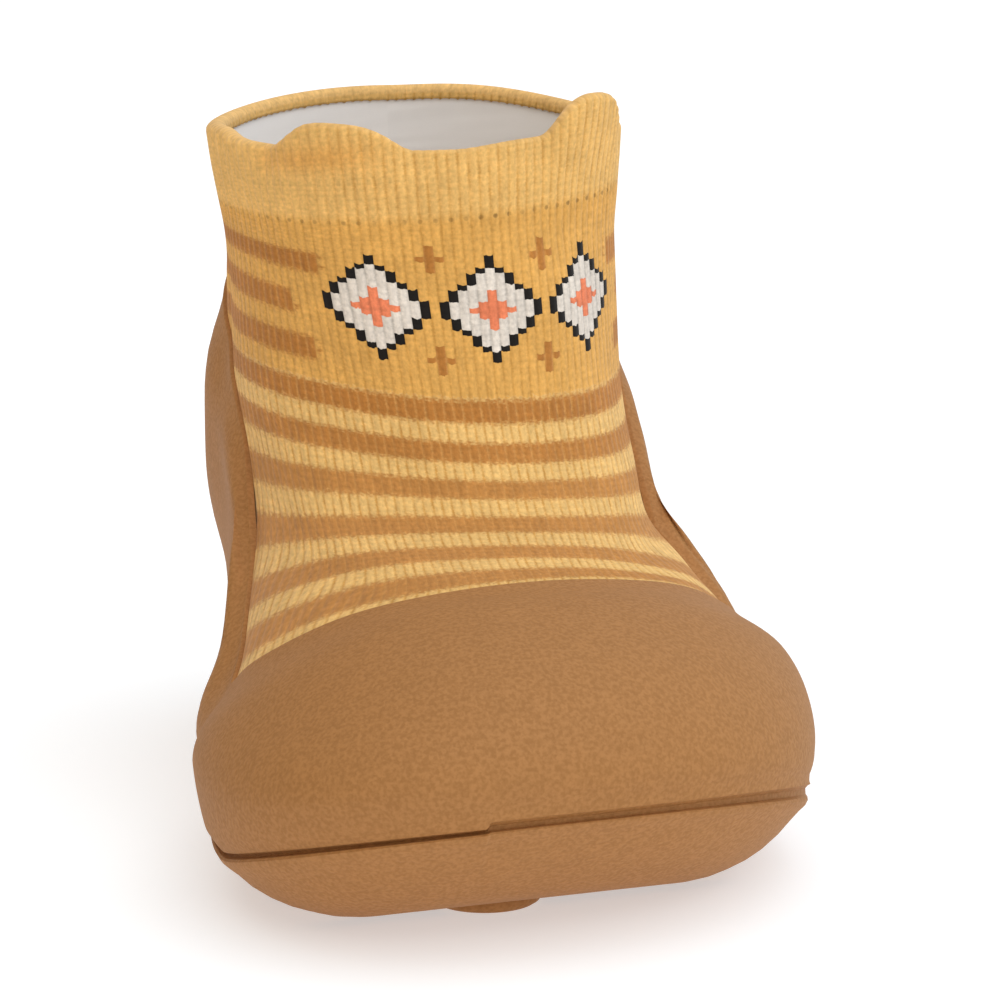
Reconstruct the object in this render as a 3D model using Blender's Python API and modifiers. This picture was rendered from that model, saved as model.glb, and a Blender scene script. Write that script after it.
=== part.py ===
"""Left sock shoe for a toddler: a knitted sock upper set in a moulded rubber bottom, with an insole.

Sizes are in millimetres and become metres where the meshes are made. The toe points along -Y,
the outer side of the foot is +X, and the sole stands on z = 0.
"""

import math
from collections import namedtuple

import bmesh
import bpy
import numpy as np

MM = 0.001

# Driving sizes of the foot form, which is the outside of the sock
FORM_LENGTH = 124.0
BALL_WIDTH = 64.0
COLLAR_HEIGHT = 80.0

# Walls and clearances
SOCK_WALL = 1.7
CUFF_WALL = 2.4
CUFF_STEP = 0.5
RIM_ROUND = 0.6
RUBBER_WALL = 2.2
RUBBER_LIP = 1.05
LIP_TAPER = 14.5
FIT_GAP = 0.45
INSOLE_THICKNESS = 2.6

# The sole: its thickness, toe spring, heel lift, arch and waist
SOLE_THICKNESS = 5.2
TOE_SPRING = 9.4
TOE_SPRING_FROM = -31.0
HEEL_LIFT = 2.6
HEEL_LIFT_FROM = 50.0
ARCH_RISE = 1.4
ARCH_MIDDLE = 16.0
ARCH_HALF_LENGTH = 16.0
WAIST_IN = 1.0
WAIST_OUT = 0.3
SLANT = 0.20
SLANT_RANGE = (0.3, 0.8)

# The rubber's upper edge, seen from the side: a wall that climbs to the heel and a toe cap. Both are
# higher at the outer side.
WALL_LOW = 18.2
WALL_TILT = 1.3
WALL_HIGH = 63.3
WALL_CLIMBS_FROM = -25.4
WALL_CLIMBS_TO = 61.0
CAP_CORNER = -20.5
CAP_CORNER_HEIGHT = 24.7
CAP_SLOPE = 0.585
CAP_TILT = 0.042

# Mesh resolution: columns around the foot, and rows
COLUMNS = 56
FOOT_LEVELS = (0.25, 0.5, 0.75, 1.0)
LEG_LEVEL_STEP = 0.5
CUFF_ROWS = 4
WALL_ROWS = 10
DISC_RINGS = 4
SPINE_RANGE = (0.2, 0.8)

# Rings of the foot form from the feather line up to the collar. back and front are shares of
# FORM_LENGTH from the middle of the foot. The heights are shares of COLLAR_HEIGHT, at the heel,
# the sides and the toe. heel, inner and outer are half widths as shares of half BALL_WIDTH, and
# middle is how far the ring is set to the outer side.
# heel_at, ball_at and rise_at are shares of the ring's length from the heel: where the heel and
# the ball are widest, and where the ring starts to climb or dip to its front. power is how blunt
# the toe is, and slant is how far the inner side leads the outer side.
RING_COLUMNS = (
    "name back front back_z side_z front_z heel inner outer middle heel_at ball_at rise_at power slant"
)
Ring = namedtuple("Ring", RING_COLUMNS)
RING_TABLE = (
    ("feather line", 0.476, -0.472, 0.082, 0.078, 0.17, 0.6, 0.875, 0.84, 0.0, 0.2, 0.68, 0.75, 2.5, SLANT),
    ("widest line", 0.5, -0.5, 0.18, 0.172, 0.24, 0.66, 1.0, 0.962, 0.0, 0.2, 0.69, 0.75, 2.5, SLANT),
    ("shoulder", 0.506, -0.456, 0.294, 0.268, 0.328, 0.677, 0.889, 0.93, 0.0, 0.2, 0.7, 0.75, 2.2, SLANT),
    ("low vamp", 0.507, -0.362, 0.388, 0.35, 0.379, 0.725, 0.788, 0.785, 0.0, 0.22, 0.61, 0.7, 2.3, SLANT),
    ("vamp", 0.505, -0.286, 0.462, 0.412, 0.407, 0.74, 0.732, 0.7, -0.01, 0.25, 0.54, 0.6, 2.0, 0.18),
    ("low instep", 0.501, -0.161, 0.544, 0.494, 0.462, 0.735, 0.718, 0.727, -0.02, 0.3, 0.52, 0.5, 2.0, 0.14),
    ("instep", 0.495, -0.06, 0.638, 0.594, 0.588, 0.73, 0.73, 0.73, -0.025, 0.36, 0.5, 0.5, 2.0, 0.08),
    ("ankle", 0.488, 0.0, 0.75, 0.725, 0.712, 0.725, 0.725, 0.725, -0.027, 0.42, 0.5, 0.5, 2.0, 0.04),
    ("cuff seam", 0.482, 0.051, 0.84, 0.822, 0.832, 0.74, 0.74, 0.74, -0.03, 0.5, 0.5, 0.5, 2.0, 0.0),
    ("collar", 0.488, 0.089, 1.008, 0.966, 0.944, 0.78, 0.78, 0.78, -0.03, 0.5, 0.5, 0.5, 2.0, 0.0),
)
RING_VALUES = np.array([row[1:] for row in RING_TABLE])

# Levels of the form, counted in rings
FEATHER = 0.0
WIDEST = 1.0
CUFF_SEAM = 8.0
CUFF_STEP_TOP = 8.12
CUFF_LOWEST_ROW = 8.4
COLLAR = 9.0

# Swells of the collar's rim, by their bearing from the toe: two rounded tabs at the front, the rise
# that leads up to the outer one, the dip beside the inner one, and the higher outer back
Swell = namedtuple("Swell", "name bearing height half_width")
RIM_SWELLS = (
    Swell("inner tab", -29.5, 2.45, 21.0),
    Swell("outer tab", 50.0, 4.1, 21.5),
    Swell("outer rise", 36.0, 1.0, 34.0),
    Swell("inner dip", -58.0, -0.85, 20.0),
    Swell("outer back", 125.0, 1.0, 55.0),
)
SWELL_POWER = 3.0

# The rubber's side below its widest line: how far each row is set in, its height above the sole
# and the share of the toe spring it follows
SideRow = namedtuple("SideRow", "name inset height follow")
SIDE_ROWS = (
    SideRow("under the wall", 0.5, 9.4, 0.62),
    SideRow("groove top", 0.9, 8.3, 0.66),
    SideRow("groove floor", 1.9, 7.8, 0.67),
    SideRow("groove foot", 1.2, 7.1, 0.68),
    SideRow("sole side", 2.6, 4.9, 0.84),
    SideRow("sole turn", 5.4, 2.3, 0.95),
    SideRow("sole round", 8.8, 0.7, 1.0),
    SideRow("sole edge", 12.0, 0.0, 1.0),
)
SIDE_TILT = 0.003

# Tread: grooves across the sole, each at a place along the foot
Groove = namedtuple("Groove", "name place half_length")
GROOVES = (
    Groove("toe", -40.0, 27.0),
    Groove("ball front", -30.0, 30.0),
    Groove("ball", -20.0, 30.0),
    Groove("ball back", -10.0, 29.0),
    Groove("heel front", 36.0, 22.0),
    Groove("heel", 45.0, 22.0),
)
GROOVE_WIDTH = 2.4
GROOVE_DEPTH = 1.3
GROOVE_TURN = 11.0

# The round lug under the toe, by its middle, its radius and its lowest and highest plane
LUG_MIDDLE = (-4.7, -38.2)
LUG_RADIUS = 6.2
LUG_BOTTOM = 0.05
LUG_TOP = 2.6
LUG_SIDES = 24

# Colours as linear red, green and blue
SOCK_COLOUR = (0.76, 0.43, 0.12)
RUBBER_COLOUR = (0.39, 0.19, 0.065)
INSOLE_COLOUR = (0.55, 0.50, 0.44)


def smooth_step(value, low, high):
    """0 below low, 1 above high, and a soft climb between."""
    share = np.clip((value - low) / (high - low), 0.0, 1.0)
    return share * share * (3.0 - 2.0 * share)


def ring_at(level):
    """The ring table's columns at a level between two rings, on a smooth curve through the rings."""
    level = np.asarray(level, float)
    lower = np.clip(level.astype(int), 0, len(RING_TABLE) - 2)
    share = (level - lower)[..., None]
    here, above = RING_VALUES[lower], RING_VALUES[lower + 1]
    below = np.where(lower[..., None] > 0, RING_VALUES[np.maximum(lower - 1, 0)], 2 * here - above)
    last = lower[..., None] + 2 < len(RING_TABLE)
    beyond = np.where(last, RING_VALUES[np.minimum(lower + 2, len(RING_TABLE) - 1)], 2 * above - here)
    values = 0.5 * (
        2 * here
        + (above - below) * share
        + (2 * below - 5 * here + 4 * above - beyond) * share**2
        + (3 * here - below - 3 * above + beyond) * share**3
    )
    return Ring("", *np.moveaxis(values, -1, 0))


def half_width(along, heel, ball, waist, ring):
    """Half width of a ring at a share of its length: heel curve, waist and toe curve."""
    heel_power = 1.0 + 0.5 * ring.power
    toe = np.clip((along - ring.ball_at) / (1.0 - ring.ball_at), 0.0, 1.0)
    back = np.clip((ring.heel_at - along) / ring.heel_at, 0.0, 1.0)
    middle_length = ring.ball_at - ring.heel_at
    middle = np.clip((along - ring.heel_at) / np.maximum(middle_length, 1e-6), 0.0, 1.0)
    toe_curve = ball * (1.0 - toe**ring.power) ** (1.0 / ring.power)
    heel_curve = heel * (1.0 - back**heel_power) ** (1.0 / heel_power)
    dip = waist * 2.0 * np.clip(middle_length, 0.0, 0.5) * np.sin(math.pi * middle) ** 2
    middle_curve = heel + (ball - heel) * smooth_step(middle, 0.0, 1.0) - dip
    return np.where(along > ring.ball_at, toe_curve, np.where(along < ring.heel_at, heel_curve, middle_curve))


def rim_lift(around):
    """How far the swells of the rim raise it at an angle around the foot."""
    bearing = 180.0 - np.degrees(around)
    lift = np.zeros_like(bearing)
    for swell in RIM_SWELLS:
        reach = np.clip(np.abs(bearing - swell.bearing) / swell.half_width, 0.0, 1.0)
        lift = lift + swell.height * (1.0 - reach**SWELL_POWER) ** 2
    return lift


def form(around, level):
    """Points of the foot form, and their place along the foot with the slant taken out.

    around runs from the heel over the outer side to the toe and back along the inner side.
    """
    around, level = np.broadcast_arrays(np.asarray(around, float), np.asarray(level, float))
    ring = ring_at(level)
    along = 0.5 - 0.5 * np.cos(around)
    is_outer = np.sin(around) >= 0.0
    half_ball = 0.5 * BALL_WIDTH
    ball = np.where(is_outer, ring.outer, ring.inner) * half_ball
    waist = np.where(is_outer, WAIST_OUT, WAIST_IN)
    width = half_width(along, ring.heel * half_ball, ball, waist, ring)
    x = np.where(is_outer, width, -width) + ring.middle * half_ball
    place = (ring.back + (ring.front - ring.back) * along) * FORM_LENGTH
    y = place + ring.slant * x * smooth_step(along, *SLANT_RANGE)
    climb = np.clip((along - ring.rise_at) / (1.0 - ring.rise_at), 0.0, 1.0) ** 2
    heel_climb = np.clip(1.0 - 2.0 * along, 0.0, 1.0) ** 2
    share = ring.side_z + (ring.front_z - ring.side_z) * climb + (ring.back_z - ring.side_z) * heel_climb
    z = share * COLLAR_HEIGHT + rim_lift(around) * smooth_step(level, CUFF_SEAM, COLLAR)
    return np.stack([x, y, z], axis=-1), place


def outward(around, level):
    """Unit normals of the foot form."""
    step = 1e-3
    across = form(around + step, level)[0] - form(around - step, level)[0]
    up = form(around, np.asarray(level) + step)[0] - form(around, np.asarray(level) - step)[0]
    normal = np.cross(up, across)
    return normal / np.linalg.norm(normal, axis=-1, keepdims=True)


def skin(around, level, distance):
    """Points that stand off the foot form by a distance."""
    return form(around, level)[0] + outward(around, level) * np.asarray(distance)[..., None]


def spring(place):
    """How far the toe spring and the heel lift raise the sole at a place along the foot."""
    toe = np.clip((TOE_SPRING_FROM - place) / (TOE_SPRING_FROM + 0.5 * FORM_LENGTH), 0.0, None)
    heel = np.clip((place - HEEL_LIFT_FROM) / (0.5 * FORM_LENGTH - HEEL_LIFT_FROM), 0.0, None)
    return TOE_SPRING * toe**2 + HEEL_LIFT * heel**2


def floor_height(place):
    """Height of the floor inside the rubber."""
    return spring(place) + SOLE_THICKNESS


def seat_height(place):
    """Height of the insole's underside."""
    return floor_height(place) + FIT_GAP


def underside_height(place):
    """Height of the sole's underside, with its arch."""
    arch = np.clip(1.0 - ((place - ARCH_MIDDLE) / ARCH_HALF_LENGTH) ** 2, 0.0, None)
    return spring(place) + ARCH_RISE * arch**2


def place_of(points):
    """Place along the foot of points of the sole, with the slant taken out."""
    along = 0.5 - points[:, 1] / FORM_LENGTH
    return points[:, 1] - SLANT * points[:, 0] * smooth_step(along, *SLANT_RANGE)


def rubber_edge_level(around):
    """Level of the form where the rubber ends, for each column: the top of the wall or of the toe cap."""
    low = np.full_like(around, WIDEST)
    high = np.full_like(around, CUFF_SEAM)
    wall_low = WALL_LOW + WALL_TILT * np.sin(around)
    for _ in range(40):
        middle = 0.5 * (low + high)
        point, place = form(around, middle)
        wall = wall_low + (WALL_HIGH - wall_low) * smooth_step(place, WALL_CLIMBS_FROM, WALL_CLIMBS_TO)
        cap = CAP_CORNER_HEIGHT + (CAP_CORNER - place) * CAP_SLOPE + CAP_TILT * point[..., 0]
        covered = point[..., 2] < np.maximum(wall, cap)
        low = np.where(covered, middle, low)
        high = np.where(covered, high, middle)
    return low


def columns():
    """The angles of the mesh columns around the foot."""
    return np.arange(COLUMNS) * (2.0 * math.pi / COLUMNS)


def disc_rows(edge, height):
    """Rings that close an outline to a line along the middle of the foot. height gives z from the place."""
    along = np.clip(0.5 - 0.5 * np.cos(columns()), *SPINE_RANGE)
    spine_place = (0.5 - along) * FORM_LENGTH
    spine = np.stack([np.zeros(COLUMNS), spine_place, np.zeros(COLUMNS)], axis=-1)
    rows = []
    for count in range(1, DISC_RINGS + 1):
        row = edge + (spine - edge) * count / DISC_RINGS
        row[:, 2] = height(place_of(row))
        rows.append(row)
    return rows


def rubber_rows():
    """Rows of the rubber bottom, from the middle of its floor over its lip to the middle of its underside."""
    around = columns()
    edge = rubber_edge_level(around)
    wall_foot = skin(around, FEATHER, np.full(COLUMNS, FIT_GAP))
    floor_edge = wall_foot.copy()
    floor_edge[:, 2] = floor_height(place_of(floor_edge))
    rows = disc_rows(floor_edge, floor_height)[::-1] + [floor_edge, wall_foot]
    for level in FOOT_LEVELS:
        rows.append(skin(around, np.full(COLUMNS, level), np.full(COLUMNS, FIT_GAP)))
    for count in range(1, WALL_ROWS + 1):
        level = WIDEST + (edge - WIDEST) * count / WALL_ROWS
        rows.append(skin(around, level, np.full(COLUMNS, FIT_GAP)))
    lip_top = skin(around, edge, np.full(COLUMNS, FIT_GAP + RUBBER_LIP))
    rows.append(lip_top)
    for count in range(1, WALL_ROWS + 1):
        level = edge + (WIDEST - edge) * count / WALL_ROWS
        below_lip = np.linalg.norm(form(around, level)[0] - form(around, edge)[0], axis=-1)
        wall = RUBBER_LIP + (RUBBER_WALL - RUBBER_LIP) * smooth_step(below_lip, 0.0, LIP_TAPER)
        rows.append(skin(around, level, FIT_GAP + wall))
    widest = rows[-1]
    normal = outward(around, WIDEST)[:, :2]
    normal = normal / np.linalg.norm(normal, axis=-1, keepdims=True)
    for side in SIDE_ROWS:
        row = widest.copy()
        row[:, :2] -= normal * side.inset
        place = place_of(row)
        row[:, 2] = underside_height(place) - (1.0 - side.follow) * spring(place)
        row[:, 2] += side.height * (1.0 + SIDE_TILT * row[:, 0])
        rows.append(row)
    return rows + disc_rows(rows[-1], underside_height)


def insole_rows():
    """Rows of the insole's underside, from its outline to the middle of the foot."""
    outline = skin(columns(), FEATHER, np.full(COLUMNS, -SOCK_WALL - FIT_GAP))
    outline[:, 2] = seat_height(place_of(outline))
    return [outline] + disc_rows(outline, seat_height)


def sock_rows():
    """Rows of the sock's outside from the collar down to the feather line, with the cuff's raised step."""
    cuff_levels = np.linspace(COLLAR, CUFF_LOWEST_ROW, CUFF_ROWS)
    leg_levels = np.arange(CUFF_SEAM, WIDEST, -LEG_LEVEL_STEP)
    levels = np.concatenate([cuff_levels, [CUFF_STEP_TOP], leg_levels, FOOT_LEVELS[::-1], [FEATHER]])
    around = columns()
    rows = []
    for level in levels:
        step = CUFF_STEP * smooth_step(level, CUFF_SEAM, CUFF_STEP_TOP)
        rows.append(skin(around, np.full(COLUMNS, level), np.full(COLUMNS, step)))
    return levels, rows


def mesh_from_rows(name, rows, collection):
    """A surface through closed rows of points, as an object. Points that meet in the middle are merged."""
    work = bmesh.new()
    grid = [[work.verts.new(point * MM) for point in row] for row in rows]
    for lower, upper in zip(grid, grid[1:]):
        for here in range(COLUMNS):
            there = (here + 1) % COLUMNS
            work.faces.new((lower[here], lower[there], upper[there], upper[here]))
    bmesh.ops.remove_doubles(work, verts=work.verts, dist=0.01 * MM)
    bmesh.ops.dissolve_degenerate(work, edges=work.edges, dist=0.01 * MM)
    mesh = bpy.data.meshes.new(name)
    work.to_mesh(mesh)
    work.free()
    mesh.shade_smooth()
    made = bpy.data.objects.new(name, mesh)
    collection.objects.link(made)
    return made


def material(name, colour, roughness):
    made = bpy.data.materials.new(name)
    made.use_nodes = True
    shader = made.node_tree.nodes["Principled BSDF"]
    shader.inputs["Base Color"].default_value = (*colour, 1.0)
    shader.inputs["Roughness"].default_value = roughness
    shader.inputs["Metallic"].default_value = 0.0
    return made


def build_sock(collection):
    """The knitted sock: one wall, thicker in the cuff, open at the collar and underneath."""
    levels, rows = sock_rows()
    sock = mesh_from_rows("sock_upper", rows, collection)
    cuff = sock.vertex_groups.new(name="cuff")
    for row, level in enumerate(levels):
        if level > CUFF_SEAM:
            cuff.add(list(range(row * COLUMNS, (row + 1) * COLUMNS)), 1.0, "REPLACE")
    wall = sock.modifiers.new("wall", "SOLIDIFY")
    wall.thickness = CUFF_WALL * MM
    wall.offset = -1.0
    wall.use_even_offset = True
    wall.vertex_group = "cuff"
    wall.thickness_vertex_group = SOCK_WALL / CUFF_WALL
    rim = sock.modifiers.new("soft rim", "BEVEL")
    rim.width = RIM_ROUND * MM
    rim.segments = 2
    rim.limit_method = "ANGLE"
    rim.angle_limit = math.radians(55.0)
    sock.data.materials.append(material("sock_knit", SOCK_COLOUR, 0.9))
    return sock


def use_shape(rubber, name, operation, cutters):
    """Cuts the active object out of the rubber or joins it to it, and puts it away as a hidden shape."""
    shape = bpy.context.active_object
    shape.name = name
    for holder in shape.users_collection:
        holder.objects.unlink(shape)
    cutters.objects.link(shape)
    shape.hide_render = True
    shape.display_type = "WIRE"
    use = rubber.modifiers.new(name, "BOOLEAN")
    use.operation = operation
    use.object = shape


def build_rubber(collection, cutters):
    """The moulded rubber bottom: sole, side wall, toe cap and heel counter in one piece, with a tread."""
    rubber = mesh_from_rows("rubber_bottom", rubber_rows(), collection)
    for groove in GROOVES:
        height = float(underside_height(np.array(groove.place)))
        bpy.ops.mesh.primitive_cube_add(size=1.0, location=(0.0, groove.place * MM, height * MM))
        cutter = bpy.context.active_object
        cutter.scale = (2.0 * groove.half_length * MM, GROOVE_WIDTH * MM, 2.0 * GROOVE_DEPTH * MM)
        cutter.rotation_euler = (0.0, 0.0, math.radians(GROOVE_TURN) if groove.place < 0.0 else 0.0)
        use_shape(rubber, "groove_" + groove.name.replace(" ", "_"), "DIFFERENCE", cutters)
    bpy.ops.mesh.primitive_cylinder_add(
        vertices=LUG_SIDES,
        radius=LUG_RADIUS * MM,
        depth=(LUG_TOP - LUG_BOTTOM) * MM,
        location=(LUG_MIDDLE[0] * MM, LUG_MIDDLE[1] * MM, 0.5 * (LUG_BOTTOM + LUG_TOP) * MM),
    )
    use_shape(rubber, "toe_lug", "UNION", cutters)
    rubber.data.materials.append(material("moulded_rubber", RUBBER_COLOUR, 0.6))
    return rubber


def build_insole(collection):
    """The foam insole on the floor of the rubber bottom, inside the sock."""
    insole = mesh_from_rows("insole", insole_rows(), collection)
    pad = insole.modifiers.new("thickness", "SOLIDIFY")
    pad.thickness = INSOLE_THICKNESS * MM
    pad.offset = -1.0
    pad.use_even_offset = True
    insole.data.materials.append(material("insole_foam", INSOLE_COLOUR, 0.95))
    return insole


def new_collection(name):
    made = bpy.data.collections.new(name)
    bpy.context.scene.collection.children.link(made)
    return made


def main():
    for old in list(bpy.data.objects):
        bpy.data.objects.remove(old, do_unlink=True)
    shoe = new_collection("sock_shoe")
    cutters = new_collection("cutters")
    rubber = build_rubber(shoe, cutters)
    pieces = [rubber, build_sock(shoe), build_insole(shoe)]
    root = bpy.data.objects.new("shoe_frame", None)
    shoe.objects.link(root)
    corners = np.array(rubber.bound_box)
    middle = 0.5 * (corners.min(axis=0) + corners.max(axis=0))
    root.location = (-middle[0], -middle[1], 0.0)
    for piece in pieces + list(cutters.objects):
        piece.parent = root


main()
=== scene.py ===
"""Sock shoe for a toddler: the looks of the knitted sock, the moulded rubber bottom and the insole.

The foot form is worked out in millimetres, with the toe along -Y and the outer side at +X, and
becomes metres where the meshes are made.
"""

import math
from collections import namedtuple

import bpy
import numpy as np
from bpy.props import FloatProperty, FloatVectorProperty, IntProperty, PointerProperty
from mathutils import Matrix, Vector


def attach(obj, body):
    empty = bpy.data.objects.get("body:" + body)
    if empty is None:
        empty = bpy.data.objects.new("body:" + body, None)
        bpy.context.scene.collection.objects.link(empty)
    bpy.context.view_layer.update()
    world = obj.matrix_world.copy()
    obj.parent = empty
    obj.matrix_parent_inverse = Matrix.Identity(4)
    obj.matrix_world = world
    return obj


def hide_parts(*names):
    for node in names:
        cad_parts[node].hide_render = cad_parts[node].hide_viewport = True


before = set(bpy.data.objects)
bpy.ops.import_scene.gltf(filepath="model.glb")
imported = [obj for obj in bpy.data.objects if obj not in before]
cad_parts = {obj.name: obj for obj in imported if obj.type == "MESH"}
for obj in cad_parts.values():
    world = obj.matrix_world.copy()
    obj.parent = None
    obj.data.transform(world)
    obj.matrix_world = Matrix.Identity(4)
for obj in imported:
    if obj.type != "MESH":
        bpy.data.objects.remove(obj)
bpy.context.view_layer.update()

bl_info = {
    "name": "Sock shoe",
    "version": (1, 0, 0),
    "blender": (4, 5, 0),
    "location": "View3D > Sidebar > Sock shoe",
    "description": "Dresses the solids of a toddler's sock shoe with knit, rubber and insole",
    "category": "Object",
}

MM = 0.001
MERGE_DISTANCE = 0.002 * MM

# The foot form, as in the solids

FORM_LENGTH = 124.0
BALL_WIDTH = 64.0
COLLAR_HEIGHT = 80.0
SOCK_WALL = 1.7
CUFF_WALL = 2.4
CUFF_STEP = 0.5
RUBBER_WALL = 2.2
RUBBER_LIP = 1.05
LIP_TAPER = 14.5
FIT_GAP = 0.45
INSOLE_THICKNESS = 2.6
SOLE_THICKNESS = 5.2
TOE_SPRING = 9.4
TOE_SPRING_FROM = -31.0
HEEL_LIFT = 2.6
HEEL_LIFT_FROM = 50.0
ARCH_RISE = 1.4
ARCH_MIDDLE = 16.0
ARCH_HALF_LENGTH = 16.0
WAIST_IN = 1.0
WAIST_OUT = 0.3
SLANT = 0.20
SLANT_RANGE = (0.3, 0.8)
WALL_LOW = 18.2
WALL_TILT = 1.3
WALL_HIGH = 63.3
WALL_CLIMBS_FROM = -25.4
WALL_CLIMBS_TO = 61.0
CAP_CORNER = -20.5
CAP_CORNER_HEIGHT = 24.7
CAP_SLOPE = 0.585
CAP_TILT = 0.042
SPINE_RANGE = (0.2, 0.8)
SOLID_COLUMNS = 56
SOLID_WALL_ROWS = 10
HALVINGS = 40

Ring = namedtuple(
    "Ring",
    "name back front back_z side_z front_z heel inner outer middle heel_at ball_at rise_at power slant",
)
RING_TABLE = (
    ("feather line", 0.476, -0.472, 0.082, 0.078, 0.17, 0.6, 0.875, 0.84, 0.0, 0.2, 0.68, 0.75, 2.5, SLANT),
    ("widest line", 0.5, -0.5, 0.18, 0.172, 0.24, 0.66, 1.0, 0.962, 0.0, 0.2, 0.69, 0.75, 2.5, SLANT),
    ("shoulder", 0.506, -0.456, 0.294, 0.268, 0.328, 0.677, 0.889, 0.93, 0.0, 0.2, 0.7, 0.75, 2.2, SLANT),
    ("low vamp", 0.507, -0.362, 0.388, 0.35, 0.379, 0.725, 0.788, 0.785, 0.0, 0.22, 0.61, 0.7, 2.3, SLANT),
    ("vamp", 0.505, -0.286, 0.462, 0.412, 0.407, 0.74, 0.732, 0.7, -0.01, 0.25, 0.54, 0.6, 2.0, 0.18),
    ("low instep", 0.501, -0.161, 0.544, 0.494, 0.462, 0.735, 0.718, 0.727, -0.02, 0.3, 0.52, 0.5, 2.0, 0.14),
    ("instep", 0.495, -0.06, 0.638, 0.594, 0.588, 0.73, 0.73, 0.73, -0.025, 0.36, 0.5, 0.5, 2.0, 0.08),
    ("ankle", 0.488, 0.0, 0.75, 0.725, 0.712, 0.725, 0.725, 0.725, -0.027, 0.42, 0.5, 0.5, 2.0, 0.04),
    ("cuff seam", 0.482, 0.051, 0.84, 0.822, 0.832, 0.74, 0.74, 0.74, -0.03, 0.5, 0.5, 0.5, 2.0, 0.0),
    ("collar", 0.488, 0.089, 1.008, 0.966, 0.944, 0.78, 0.78, 0.78, -0.03, 0.5, 0.5, 0.5, 2.0, 0.0),
)
RING_VALUES = np.array([row[1:] for row in RING_TABLE])
FEATHER = 0.0
WIDEST = 1.0
CUFF_SEAM = 8.0
COLLAR = 9.0

# Swells of the rim, by their bearing from the toe, and how far each is puffed out
Swell = namedtuple("Swell", "name bearing height half_width puff")
RIM_SWELLS = (
    Swell("inner tab", -29.5, 2.45, 21.0, 0.55),
    Swell("outer tab", 50.0, 4.1, 21.5, 1.0),
    Swell("outer rise", 36.0, 1.0, 34.0, 0.1),
    Swell("inner dip", -58.0, -0.85, 20.0, 0.0),
    Swell("outer back", 125.0, 1.0, 55.0, 0.0),
)
SWELL_POWER = 3.0

Groove = namedtuple("Groove", "name place half_length")
GROOVES = (
    Groove("toe", -40.0, 27.0),
    Groove("ball front", -30.0, 30.0),
    Groove("ball", -20.0, 30.0),
    Groove("ball back", -10.0, 29.0),
    Groove("heel front", 36.0, 22.0),
    Groove("heel", 45.0, 22.0),
)
GROOVE_TURN = 11.0

# The round lug under the toe, by its middle, its radius and its lowest and highest plane
LUG_MIDDLE = (-4.7, -38.2)
LUG_RADIUS = 6.2
LUG_BOTTOM = 0.05
LUG_TOP = 2.6
LUG_SIDES = 64
LUG_ROUND = 1.2
LUG_ROUND_STEPS = 4

# Finer shapes of this scene

# Sock: columns of faces in each wale, rows of faces, and levels and sizes of its rim, lining and ribs
COLUMNS_PER_WALE = 4
LEG_ROWS = 64
CUFF_ROWS = 14
LINING_ROWS = 30
ROLL_ROWS = 8
RIM_LEVEL = 8.9
ROLL_RISE = 1.0
BAND_FOOT = 8.83
BAND_SCALLOP = 0.12
LINING_DIP = 0.3
CUFF_SWELL = (7.8, 8.7)
CUFF_THICKENS = (7.5, 8.5)
CUFF_RIBS = (7.9, 8.2)
RIB_FADE = (-0.1, 0.4)
PAIR_RIB = 0.12
INSIDE_RIB = 0.5
ROLL_RIB = 0.1
RIM_FADE = 0.8
BAND_EDGE = 8.834
BAND_LEVELS = (8.86, 8.88)
LINING_DIP_REACH = 0.06
TAB_PUFF = (8.3, 8.95)
CREASE_FADE = 0.25
GOLDEN_TURN = 2.399963

# Slow waves: of the sock around the foot and up it, and of the ribs' strength from one to the next
UNDULATION = 0.2
UNDULATION_FREE = (0.1, 1.6)
CUFF_HOLD = 0.6
Wave = namedtuple("Wave", "strength around level start")
SOCK_WAVES = (Wave(1.0, 3.0, 1.1, 0.0), Wave(0.7, 7.0, -1.7, 1.0))
RIB_WAVES = (Wave(0.3, 1.0, 0.0, 0.0), Wave(0.2, 3.7, 0.0, 1.0))

# Soft creases that run down from the rim
Crease = namedtuple("Crease", "name bearing spread depth foot")
CREASES = (
    Crease("inner tab's inner foot", -53.0, 3.5, 0.75, 8.55),
    Crease("inner tab's outer foot", -7.0, 6.0, 0.25, 8.6),
    Crease("outer tab's inner foot", 27.0, 5.0, 0.3, 8.6),
    Crease("outer tab's outer foot", 73.0, 4.5, 0.5, 8.55),
)

# Front line of the sock from the rim to the cap: how far down it a point is, its place along the
# foot, its height, the lean of the knit's course there, and how much higher the course is at the
# outer side
FRONT_LINE = (
    (-12.0, 16.6, 86.1, 0.0, 2.5),
    (0.0, 11.0, 75.5, 0.0, 2.5),
    (10.1, 6.3, 66.6, -4.0, 1.2),
    (16.0, 3.0, 61.6, -4.5, -0.65),
    (21.5, 0.0, 57.0, -5.0, -0.45),
    (27.0, -3.2, 52.6, -4.0, -0.6),
    (33.2, -6.8, 47.3, -2.5, -1.25),
    (39.4, -11.3, 43.05, 0.1, -1.4),
    (45.0, -15.6, 39.8, 4.4, -1.45),
    (50.4, -20.1, 36.9, 10.6, -1.2),
    (56.8, -26.1, 34.7, 22.9, -1.7),
    (60.4, -29.6, 33.9, 25.8, -1.2),
    (63.9, -33.1, 33.1, 28.0, 0.8),
    (77.4, -46.5, 30.2, 32.0, 0.8),
    (110.0, -78.0, 22.0, 40.0, 0.8),
)

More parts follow.
